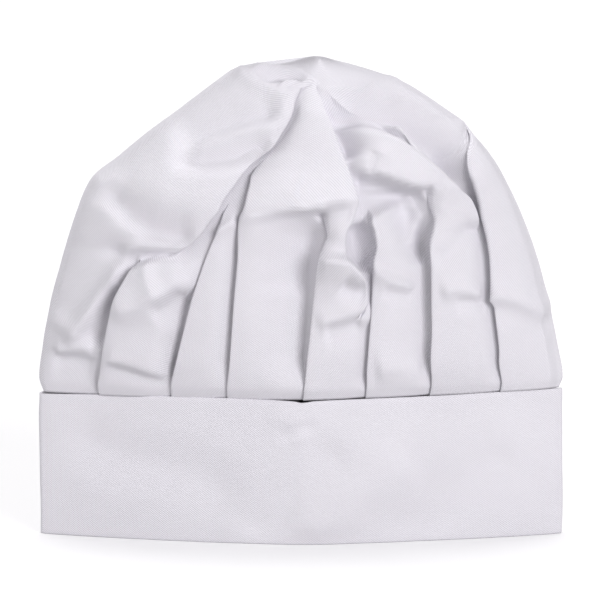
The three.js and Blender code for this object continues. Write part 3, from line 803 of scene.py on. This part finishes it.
loops = np.stack([even_loop(v) for v in RING_LIST])
round_ways = np.roll(loops, -1, axis=1) - np.roll(loops, 1, axis=1)
known_places = np.concatenate([EVEN_PLACES, EVEN_PLACES + 2])


def outward(places):
    """The direction out of the bare loop at each of the grid's places."""
    normals = np.cross(round_ways, np.gradient(loops, axis=0))
    found = [
        [np.interp(at, known_places, row[:, axis], period=4) for axis in range(3)]
        for at, row in zip(places, normals)
    ]
    found = np.array(found).transpose(0, 2, 1)
    return found / np.maximum(np.linalg.norm(found, axis=-1, keepdims=True), LEAST_LENGTH)


calm = ease(RING_LIST / SEAM_CALM) * ease((POLE_RING - RING_LIST) / POLE_CALM)
moves = dent_grid * (stroke_heights + swells) * calm[:, None]
directions = outward(place_grid)
crown_grid = grid + directions * moves[..., None]
print("mean outward move:", moves.mean().round(3), "mm")

# %% [markdown]
# ## A map of the cloth
#
# The weave needs a flat map of the cloth in metres. Here it is measured on the bare loops: how far a
# place is from the front's middle along its ring, and how far up from the seam. On the right the
# ribs lean the other way. So the map is turned by a quarter on the right panels, on the middle panel
# below its bend, and on the whole back.

# %% Measure the cloth's map
TURN_PANEL = 6
BEND_PANEL = 5
BEND_Q = 185.3


def cloth_places(places):
    """Distances in mm round and up the cloth for the grid's places, and the way round each ring."""
    legs = np.linalg.norm(np.roll(loops, -1, axis=1) - loops, axis=2)
    way_round = np.concatenate([np.zeros((len(loops), 1)), np.cumsum(legs, axis=1)], axis=1)
    along = round_ways / np.linalg.norm(round_ways, axis=-1, keepdims=True)
    rise = np.diff(loops, axis=0)
    rise -= (rise * along[:-1]).sum(axis=-1, keepdims=True) * along[:-1]
    up = np.concatenate([np.zeros((1, loops.shape[1])), np.cumsum(np.linalg.norm(rise, axis=-1), axis=0)])
    ends = np.append(known_places, 3.0)
    out_u, out_v = [], []
    for at, lengths, heights in zip(places, way_round, up):
        u = np.interp(at, ends, lengths) - np.interp(0.0, ends, lengths)
        out_u.append(np.where(at > 2, u - lengths[-1], u))
        out_v.append(np.interp(at, known_places, heights, period=4))
    return np.array(out_u), np.array(out_v), way_round[:, -1]


cloth_u, cloth_v, ring_lengths = cloth_places(place_grid)
turned = (panel_grid >= TURN_PANEL) | ((panel_grid == BEND_PANEL) & (seen_grid[..., 1] < BEND_Q))
print("the cloth is", cloth_v.max().round(), "mm high and", ring_lengths[0].round(), "mm round at the seam")

# %% [markdown]
# ## From grid to mesh
#
# The rings become faces, four corners each, and the last ring closes on one point at the top. Each
# face's corners get their place on the map. At the middle of the back, where the map's two ends meet,
# a face's corners are all counted from the same end.

# %% Build the crown's mesh
MAP_JUMP = 60.0
TOP_POINT = (10.0, 0.0, 267.5)


def grid_faces(steps, rows, columns):
    """The faces of so many steps from row to row. A grid closes round, and starts again after its rows."""
    faces = []
    for j in range(steps):
        near, far = j * columns, (j + 1) % rows * columns
        for i in range(columns):
            k = (i + 1) % columns
            faces.append((near + i, near + k, far + k, far + i))
    return faces


def smooth_mesh(name, points, faces):
    """A smooth mesh of points in millimetres."""
    mesh = bpy.data.meshes.new(name)
    mesh.from_pydata((points * MM).tolist(), [], faces)
    mesh.shade_smooth()
    return mesh


def placed(name, data):
    """An object of that name in the scene."""
    thing = bpy.data.objects.new(name, data)
    bpy.context.scene.collection.objects.link(thing)
    return thing


def set_map(mesh, places):
    """Gives the mesh its flat map, a place for each corner of each face, and mends its faces."""
    layer = mesh.uv_layers.new(name="flat cloth")
    layer.data.foreach_set("uv", np.array(places).ravel())
    mesh.validate()


def face_places(faces, u, v, lengths, is_turned, columns):
    """The map's places of all corners of the faces, in metres."""
    values = []
    for face in faces:
        first = face[0]
        length = lengths[min(first // columns, len(lengths) - 1)]
        for corner in face:
            jump = u[first] - u[corner]
            shift = length * round(jump / length) if abs(jump) > MAP_JUMP else 0
            place = (u[corner] + shift, v[corner])
            values.append((-place[1], place[0]) if is_turned[first] else place)
    return np.array(values) * MM


rings, columns = crown_grid.shape[:2]
last = (rings - 1) * columns
crown_faces = grid_faces(rings - 1, rings, columns)
crown_faces += [(last + i, last + (i + 1) % columns, rings * columns) for i in range(columns)]
crown_mesh = smooth_mesh("crown cloth", np.vstack([crown_grid.reshape(-1, 3), TOP_POINT]), crown_faces)
flat_u, flat_v = np.append(cloth_u.ravel(), 0.0), np.append(cloth_v.ravel(), cloth_v.max())
set_map(crown_mesh, face_places(crown_faces, flat_u, flat_v, ring_lengths, turned.ravel(), columns))
crown = placed("crown_cloth_piece", crown_mesh)
print("crown:", len(crown_faces), "faces")

# %% [markdown]
# ## The thickness of the crown's cloth
#
# One ply of cotton twill is about half a millimetre thick. A Solidify modifier gives the single
# surface that thickness, inward, so that the measured outside stays where it is.

# %% Give the crown its thickness
CROWN_PLY = 0.45

ply = crown.modifiers.new("one ply", "SOLIDIFY")
ply.thickness = CROWN_PLY * MM
ply.offset = -1
ply.use_rim = True
print("ply:", CROWN_PLY, "mm")

# %% [markdown]
# ## The headband
#
# The band is one strip of twill, folded double at its lower edge and closed to a loop. Its section is
# a long flat loop of cloth: two faces, a soft fold at the bottom, and a turned-in top edge that takes
# the crown's rim. The top edge isn't level: it rises a little from left to right, and has a small notch
# under the middle pleat.

# %% Tables of the band
BAND_WIDTH = 292
BAND_DEPTH = 82
BAND_FOLD = 3
BAND_RIDGE = 1.35
BAND_ROUND = 0.9
BAND_WALL = 1.6
BAND_COLUMNS = 150
SIDE_COLUMNS = 7
BAND_TOP = {
    "x": [-146, -112, -72, -41, -12, -3, 1, 5, 14, 36, 71, 110, 146],
    "z": [79.4, 80.6, 81.3, 81.4, 80.8, 80.2, 79.4, 80.2, 80.7, 81.1, 81.5, 82.2, 82.6],
}
BACK_TOP = 81.2
BACK_EASE = 0.4


def band_depth(s):
    """How far the band's core lies in front of the middle, and behind it, at share s."""
    return (BAND_DEPTH / 2 - BAND_FOLD) * (1 - np.abs(s) ** BAND_RIDGE) ** BAND_ROUND


def band_loop(out):
    """The band's loop in plan: points x, y once round, out from its core, and the outward direction."""
    width = BAND_WIDTH / 2 - BAND_FOLD
    places, directions = [], []
    for side in (-1, 1):
        turn = np.linspace(-1, 1, BAND_COLUMNS + 1)
        s = -side * np.sin(turn * math.pi / 2) * LAST_SHARE
        low, high = np.maximum(-1, s - SLOPE_STEP), np.minimum(1, s + SLOPE_STEP)
        slope = (band_depth(high) - band_depth(low)) / ((high - low) * width)
        normal = np.stack([-slope, np.ones_like(slope)], axis=-1) / np.hypot(1, slope)[:, None]
        normal[:, 1] *= side
        places.append(np.stack([width * s, side * band_depth(s)], axis=-1))
        directions.append(normal)
        half_angle = math.acos(min(1, abs(normal[-1][0])))
        fan = np.linspace(-1, 1, SIDE_COLUMNS + 2)[1:-1] * half_angle
        directions.append(np.stack([-side * np.cos(fan), -side * np.sin(fan)], axis=-1))
        places.append(np.repeat([[-side * width, 0.0]], SIDE_COLUMNS, axis=0))
    places, directions = np.concatenate(places), np.concatenate(directions)
    return places + directions * out, directions


outline, outline_out = band_loop(BAND_FOLD)
loop_length = np.linalg.norm(np.roll(outline, -1, axis=0) - outline, axis=1).sum()
print("band loop:", len(outline), "columns,", round(float(loop_length)), "mm round")

# %% [markdown]
# ## Dents in the headband
#
# The band's cloth has no pleats, only a few soft dents and swells, most of which run from the lower
# left to the upper right. They are strokes like those of the crown, in front only. At the hem and at
# the top edge a quarter of each is left, so that both edges stay nearly straight.

# %% Build the band's grid
BAND_STROKES = [
    # name, height, width left, width right, roundness, way
    ("front crease", -2.2, 5, 7, 1.5, [(-12.8, 55), (-2.8, 58.4), (8.4, 62.9)]),
    ("front swell", 1.9, 14, 10, 3, [(-17.3, 74.1), (-6.1, 65.1), (-0.6, 49.4)]),
    ("front slant", -3.2, 20, 14, 5, [(-34, -6.2), (-6.1, 21.9), (27.3, 52.8)]),
    ("middle slant", 3.2, 18, 22, 5, [(-0.6, -7.9), (27.3, 19.1), (60.7, 47.2)]),
    ("right slant", -2.4, 20, 20, 5, [(49.6, -7.9), (77.5, 19.1), (122, 52.8)]),
    ("left slant", -2.6, 18, 18, 5, [(-134.3, 58.4), (-100.9, 44.4), (-61.9, 35.9), (-28.4, 16.3)]),
]
BAND_SWELLS = [(60.0, 0.9), (24.0, 0.25), (9.0, 0.06)]
BAND_SHIFT = Vector((1, 1, 0))
HEM_STEPS = 5
FACE_STEPS = 34
INNER_STEPS = 14
TOP_SQUASH = 0.6
HEM_CALM = 12
TOP_CALM = 14
LEAST_MOVE = 0.25


def band_section():
    """The section of the doubled strip: shares of the height, and how far in from the outer face."""
    turn = np.linspace(0, math.pi, HEM_STEPS + 1)
    half = BAND_WALL / 2
    up = np.linspace(0, 1, FACE_STEPS + 1)
    down = np.linspace(1, 0, INNER_STEPS + 1)
    rows = [("hem", half - half * math.sin(t), half + half * math.cos(t)) for t in turn[:-1]]
    rows += [("face", u, 0.0) for u in up]
    rows += [("top", half * math.sin(t) * TOP_SQUASH, half - half * math.cos(t)) for t in turn[1:-1]]
    rows += [("face", u, BAND_WALL) for u in down]
    return rows


def top_height(x, y):
    """The height of the band's top edge at x, in front or behind."""
    front = smooth_curve(BAND_TOP["x"], BAND_TOP["z"], np.clip(x, -BAND_WIDTH / 2, BAND_WIDTH / 2))
    toward_side = ease(np.abs(x) / BAND_WIDTH * 2 - BACK_EASE)
    return np.where(y < 0, front, BACK_TOP + (front - BACK_TOP) * toward_side)


tops = top_height(outline[:, 0], outline[:, 1])
band_rows = []
for kind, place, inward in band_section():
    if kind == "hem":
        z = np.full(len(outline), place)
    elif kind == "face":
        z = BAND_WALL / 2 + (tops - BAND_WALL) * place
    else:
        z = tops - BAND_WALL / 2 + place
    band_rows.append(np.column_stack([outline - outline_out * inward, z]))
band_grid = np.stack(band_rows)
band_seen = seen_places(band_grid)
dents = sum(stroke_profile(band_seen, *shape) for _, *shape in BAND_STROKES)
dents = np.where(band_grid[..., 1] < 0, dents, 0)
calm_ends = ease(band_grid[..., 2] / HEM_CALM) * ease((tops[None] - band_grid[..., 2]) / TOP_CALM)
shifts = [[swell_height(p, BAND_SWELLS, BAND_SHIFT, 3) for p in row] for row in band_grid.tolist()]
shifts = (LEAST_MOVE + (1 - LEAST_MOVE) * calm_ends) * (np.array(shifts) + dents)
flat_out = np.concatenate([outline_out, np.zeros((len(outline), 1))], axis=1)
band_grid = band_grid + flat_out[None] * shifts[..., None]
lowest, highest = shifts.min().round(2), shifts.max().round(2)
print("band grid:", band_grid.shape[:2], "shifted", lowest, "to", highest, "mm")

# %% [markdown]
# ## The band as a mesh
#
# The grid closes both ways: round the head, and round the section of the doubled strip. Its map is
# the strip laid flat, in metres: the way along its lower edge, and the way round the section.

# %% Make the band piece
def strip_places(points):
    """The flat strip's place of each corner of each face."""
    steps = np.linalg.norm(np.diff(points, axis=0, append=points[:1]), axis=2).mean(axis=1)
    arcs = np.linalg.norm(np.roll(points[HEM_STEPS], -1, axis=0) - points[HEM_STEPS], axis=1)
    v = np.concatenate([[0], np.cumsum(steps)]) * MM
    u = np.concatenate([[0], np.cumsum(arcs)]) * MM
    values = []
    for j in range(len(steps)):
        for i in range(len(arcs)):
            values += [(u[i], v[j]), (u[i + 1], v[j]), (u[i + 1], v[j + 1]), (u[i], v[j + 1])]
    return values


band_faces = grid_faces(len(band_grid), *band_grid.shape[:2])
band_mesh = smooth_mesh("band cloth", band_grid.reshape(-1, 3), band_faces)
set_map(band_mesh, strip_places(band_grid))
band = placed("band_cloth_piece", band_mesh)
print("band:", len(band.data.polygons), "faces")

# %% [markdown]
# ## Twill
#
# Twill is a weave whose threads step aside by one in each row, which draws fine slanting ribs on the
# cloth. One node group makes them for both pieces: it reads the flat cloth's map, turns it, and makes
# a rib every 0.95 mm with the threads across it. A slow noise bends the ribs a little. The group gives
# a height for the bump and a mask for the painted shade in the gaps between the ribs.

# %% The twill node group
RIB_SPACING = 0.00095
RIB_WOBBLE = 5.0
THREAD_SHARE = 0.15


def add_socket(group, name, kind, is_input, value=None):
    """Adds a named input or output to a node group."""
    socket = group.interface.new_socket(name, in_out="INPUT" if is_input else "OUTPUT", socket_type=kind)
    if value is not None:
        socket.default_value = value


def add_node(tree, kind, inputs=None):
    """A node of that kind, with some of its inputs set by name."""
    node = tree.nodes.new(kind)
    for name, value in (inputs or {}).items():
        node.inputs[name].default_value = value
    return node


def math_node(tree, operation, *values):
    """A Math node's result. A value is a number or a socket."""
    node = tree.nodes.new("ShaderNodeMath")
    node.operation = operation
    for socket, value in zip(node.inputs, values):
        if isinstance(value, (int, float)):
            socket.default_value = value
        else:
            tree.links.new(value, socket)
    return node.outputs[0]


def twill_group():
    """The weave of both pieces."""
    group = bpy.data.node_groups.new("twill weave", "ShaderNodeTree")
    add_socket(group, "Cloth", "NodeSocketVector", True)
    add_socket(group, "Rib spacing", "NodeSocketFloat", True, RIB_SPACING)
    add_socket(group, "Slant", "NodeSocketFloat", True, 0.6)
    add_socket(group, "Height", "NodeSocketFloat", False)
    add_socket(group, "Gap shade", "NodeSocketFloat", False)
    inside = group.nodes.new("NodeGroupInput")
    outside = group.nodes.new("NodeGroupOutput")
    wobble = add_node(group, "ShaderNodeTexNoise", {"Scale": 60, "Detail": 2})
    group.links.new(inside.outputs["Cloth"], wobble.inputs["Vector"])
    parts = add_node(group, "ShaderNodeSeparateXYZ")
    group.links.new(inside.outputs["Cloth"], parts.inputs[0])
    slant = inside.outputs["Slant"]
    across = math_node(group, "MULTIPLY", parts.outputs["X"], math_node(group, "COSINE", slant))
    up = math_node(group, "MULTIPLY", parts.outputs["Y"], math_node(group, "SINE", slant))
    along = math_node(group, "DIVIDE", math_node(group, "ADD", across, up), inside.outputs["Rib spacing"])
    wave = math_node(group, "MULTIPLY", along, 2 * math.pi)
    wave = math_node(group, "ADD", wave, math_node(group, "MULTIPLY", wobble.outputs["Fac"], RIB_WOBBLE))
    ribs = math_node(group, "MULTIPLY_ADD", math_node(group, "SINE", wave), 0.5, 0.5)
    threads = math_node(group, "DIVIDE", parts.outputs["Y"], inside.outputs["Rib spacing"])
    threads = math_node(group, "SINE", math_node(group, "MULTIPLY", threads, 4 * math.pi))
    group.links.new(math_node(group, "MULTIPLY_ADD", threads, THREAD_SHARE, ribs), outside.inputs["Height"])
    # The gaps between the ribs: a mask for painted shade there.
    group.links.new(math_node(group, "SUBTRACT", 1.0, ribs), outside.inputs["Gap shade"])
    return group


twill = twill_group()
print("node group:", twill.name, "with", len(twill.nodes), "nodes")

# %% [markdown]
# ## The tint of the cotton, and painted shade between its ribs
#
# White cotton is never one white. A second group mixes the cloth's colour with a darker shade of it:
# slowly over some centimetres, and finely for lint and thick threads. In the gaps between the ribs the
# darker colour is painted shade, which draws the ribs as lines. The group also makes the cloth a little
# rougher in some places than in others.

# %% The tint node group
SLOW_SHARE = 0.35
FINE_SHARE = 0.16
# How much painted shade the gaps between the ribs get.
GAP_SHADE_SHARE = 0.6
LEAST_SHADE = -0.3
ROUGHNESS = 0.8
ROUGHNESS_SPREAD = 0.12
# Sockets of a Mix node that mixes colours: the two colours and the result.
MIX_FIRST, MIX_SECOND, MIX_RESULT = 6, 7, 2


def tint_group():
    """The colour and the roughness of both pieces."""
    group = bpy.data.node_groups.new("cotton tone and rib gap shade", "ShaderNodeTree")
    add_socket(group, "Place", "NodeSocketVector", True)
    add_socket(group, "Cloth", "NodeSocketColor", True, (0.8, 0.8, 0.8, 1))
    add_socket(group, "Shade", "NodeSocketColor", True, (0.7, 0.7, 0.7, 1))
    add_socket(group, "Gap shade", "NodeSocketFloat", True, 0.0)
    add_socket(group, "Color", "NodeSocketColor", False)
    add_socket(group, "Roughness", "NodeSocketFloat", False)
    inside = group.nodes.new("NodeGroupInput")
    outside = group.nodes.new("NodeGroupOutput")
    slow = add_node(group, "ShaderNodeTexNoise", {"Scale": 22, "Detail": 3})
    fine = add_node(group, "ShaderNodeTexNoise", {"Scale": 900, "Detail": 2})
    for node in (slow, fine):
        group.links.new(inside.outputs["Place"], node.inputs["Vector"])
    share = math_node(group, "MULTIPLY_ADD", slow.outputs["Fac"], SLOW_SHARE, LEAST_SHADE)
    # Painted shade: the gaps between the ribs take more of the darker colour.
    share = math_node(group, "MULTIPLY_ADD", inside.outputs["Gap shade"], GAP_SHADE_SHARE, share)
    share = math_node(group, "MULTIPLY_ADD", fine.outputs["Fac"], FINE_SHARE, share)
    mix = group.nodes.new("ShaderNodeMix")
    mix.data_type = "RGBA"
    group.links.new(share, mix.inputs["Factor"])
    group.links.new(inside.outputs["Cloth"], mix.inputs[MIX_FIRST])
    group.links.new(inside.outputs["Shade"], mix.inputs[MIX_SECOND])
    group.links.new(mix.outputs[MIX_RESULT], outside.inputs["Color"])
    rough = math_node(group, "MULTIPLY_ADD", slow.outputs["Fac"], ROUGHNESS_SPREAD, ROUGHNESS)
    group.links.new(rough, outside.inputs["Roughness"])
    return group


tint = tint_group()
print("node group:", tint.name, "with", len(tint.nodes), "nodes")

# %% [markdown]
# ## The two cloth finishes
#
# Band and crown look like the same cloth, so their colours are the same, but the ribs slant a little
# differently, as on two pieces cut apart. Both use the two groups, a matt surface with a soft sheen
# for the fluff of cotton, and a fine bump.

# %% Materials for the cloth
CLOTH_COLOUR = (0.8, 0.79, 0.825, 1)
# The darker colour is both the cloth's own uneven tone and painted shade in the rib gaps.
SHADE_COLOUR = (0.56, 0.54, 0.585, 1)
BUMP_HEIGHT = 0.2


def cloth_material(name, slant):
    """White twill whose ribs slant by an angle in radians."""
    material = bpy.data.materials.new(name)
    material.use_nodes = True
    tree = material.node_tree
    surface = tree.nodes["Principled BSDF"]
    surface.inputs["Specular IOR Level"].default_value = 0.25
    surface.inputs["Sheen Weight"].default_value = 0.08
    surface.inputs["Sheen Roughness"].default_value = 0.5
    flat = tree.nodes.new("ShaderNodeUVMap")
    flat.uv_map = "flat cloth"
    place = tree.nodes.new("ShaderNodeTexCoord")
    weave = tree.nodes.new("ShaderNodeGroup")
    weave.node_tree = twill
    weave.inputs["Slant"].default_value = slant
    colour = tree.nodes.new("ShaderNodeGroup")
    colour.node_tree = tint
    colour.inputs["Cloth"].default_value = CLOTH_COLOUR
    colour.inputs["Shade"].default_value = SHADE_COLOUR
    bump = add_node(tree, "ShaderNodeBump", {"Strength": 0.9, "Distance": BUMP_HEIGHT * MM})
    for source, output, target, socket in (
        (flat, "UV", weave, "Cloth"),
        (place, "Object", colour, "Place"),
        (weave, "Gap shade", colour, "Gap shade"),
        (colour, "Color", surface, "Base Color"),
        (colour, "Roughness", surface, "Roughness"),
        (weave, "Height", bump, "Height"),
        (bump, "Normal", surface, "Normal"),
    ):
        tree.links.new(source.outputs[output], target.inputs[socket])
    return material


crown.data.materials.append(cloth_material("white crown twill", 0.9))
band.data.materials.append(cloth_material("white band twill", 0.95))
print("materials:", crown.data.materials[0].name, "and", band.data.materials[0].name)

# %% [markdown]
# ## The floor
#
# The hat stands on a plain sweep of white paper. Light that bounced off it would brighten the
# undersides of the folds, so a Light Path node swaps the paper: the camera sees a white one, and
# bounced light meets a darker one.

# %% Floor
FLOOR_SIZE = 60.0
BOUNCE_COLOUR = (0.5, 0.5, 0.5, 1)

half = FLOOR_SIZE / 2
corners = [(-half, -half, 0), (half, -half, 0), (half, half, 0), (-half, half, 0)]
floor_mesh = bpy.data.meshes.new("floor")
floor_mesh.from_pydata(corners, [], [(0, 1, 2, 3)])
floor = placed("floor", floor_mesh)
floor_white = bpy.data.materials.new("white paper")
floor_white.use_nodes = True
nodes, links = floor_white.node_tree.nodes, floor_white.node_tree.links
paper = nodes["Principled BSDF"]
paper.inputs["Base Color"].default_value = (0.9, 0.9, 0.9, 1)
paper.inputs["Roughness"].default_value = 0.9
paper.inputs["Specular IOR Level"].default_value = 0.1
paper.inputs["Emission Color"].default_value = (1, 1, 1, 1)
paper.inputs["Emission Strength"].default_value = 0.16
dim_paper = add_node(floor_white.node_tree, "ShaderNodeBsdfDiffuse", {"Color": BOUNCE_COLOUR})
seen = nodes.new("ShaderNodeLightPath")
mix = nodes.new("ShaderNodeMixShader")
links.new(seen.outputs["Is Camera Ray"], mix.inputs["Fac"])
links.new(dim_paper.outputs["BSDF"], mix.inputs[1])
links.new(paper.outputs["BSDF"], mix.inputs[2])
links.new(mix.outputs["Shader"], nodes["Material Output"].inputs["Surface"])
floor_mesh.materials.append(floor_white)
print("floor:", FLOOR_SIZE, "m square")

# %% [markdown]
# ## Light
#
# White cloth shows its folds only by shade, so the light has a direction but soft edges. The key comes
# from low in front on the right, a weaker fill from the far left, and a bright room from all sides. A
# third light, high behind the hat, draws the short shadow on the floor in front of it.

# %% Light
ROOM_STRENGTH = 0.46
LIGHT_COLOUR = (0.985, 0.965, 1.0)

world = bpy.data.worlds.new("bright room")
world.use_nodes = True
background = world.node_tree.nodes["Background"]
background.inputs["Color"].default_value = (1, 1, 1, 1)
background.inputs["Strength"].default_value = ROOM_STRENGTH
bpy.context.scene.world = world


def far_light(name, strength, azimuth, elevation, angle):
    """A soft light from far off: azimuth to the camera's right and elevation, in degrees."""
    data = bpy.data.lights.new(name, "SUN")
    data.energy = strength
    data.color = LIGHT_COLOUR
    data.angle = math.radians(angle)
    light = placed(name, data)
    across, up = math.radians(azimuth), math.radians(elevation)
    toward = Vector((math.sin(across) * math.cos(up), -math.cos(across) * math.cos(up), math.sin(up)))
    light.rotation_mode = "QUATERNION"
    light.rotation_quaternion = (-toward).to_track_quat("-Z", "Y")


far_light("key", 2.5, 29, 10, 30)
far_light("fill", 1.5, -80, 3, 60)
far_light("back", 1.3, 180, 73, 36)

# %% [markdown]
# ## Camera
#
# A long lens from three metres away keeps the picture nearly free of perspective, as in the photo. It
# looks down by seven degrees, which is read from the curve of the band's lower edge.

# %% Camera
CAMERA_DISTANCE = 3.0
FRAME_WIDTH = 0.3344
SENSOR = 36.0
FAR_END = 200
AIM = Vector((-0.0006, 0, 0.1314))

camera_data = bpy.data.cameras.new("camera")
camera_data.sensor_width = SENSOR
camera_data.lens = SENSOR * CAMERA_DISTANCE / FRAME_WIDTH
camera_data.clip_end = FAR_END
camera = placed("camera", camera_data)
elevation = math.radians(VIEW_ELEVATION)
back = Vector((0, -math.cos(elevation), math.sin(elevation)))
camera.location = AIM + back * CAMERA_DISTANCE
camera.rotation_mode = "QUATERNION"
camera.rotation_quaternion = (-back).to_track_quat("-Z", "Y")
bpy.context.scene.camera = camera
bpy.context.scene.view_settings.view_transform = "Standard"
print("lens:", round(camera_data.lens), "mm at", CAMERA_DISTANCE, "m")

# %% [markdown]
# ## Tie the pieces to the frame
#
# Each piece rides on the hat's one body and stands for its CAD solid, which is hidden.

for piece, node, slot in ((crown, "crown", "crown_cloth"), (band, "band", "band_cloth")):
    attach(piece, "root")
    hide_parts(node)
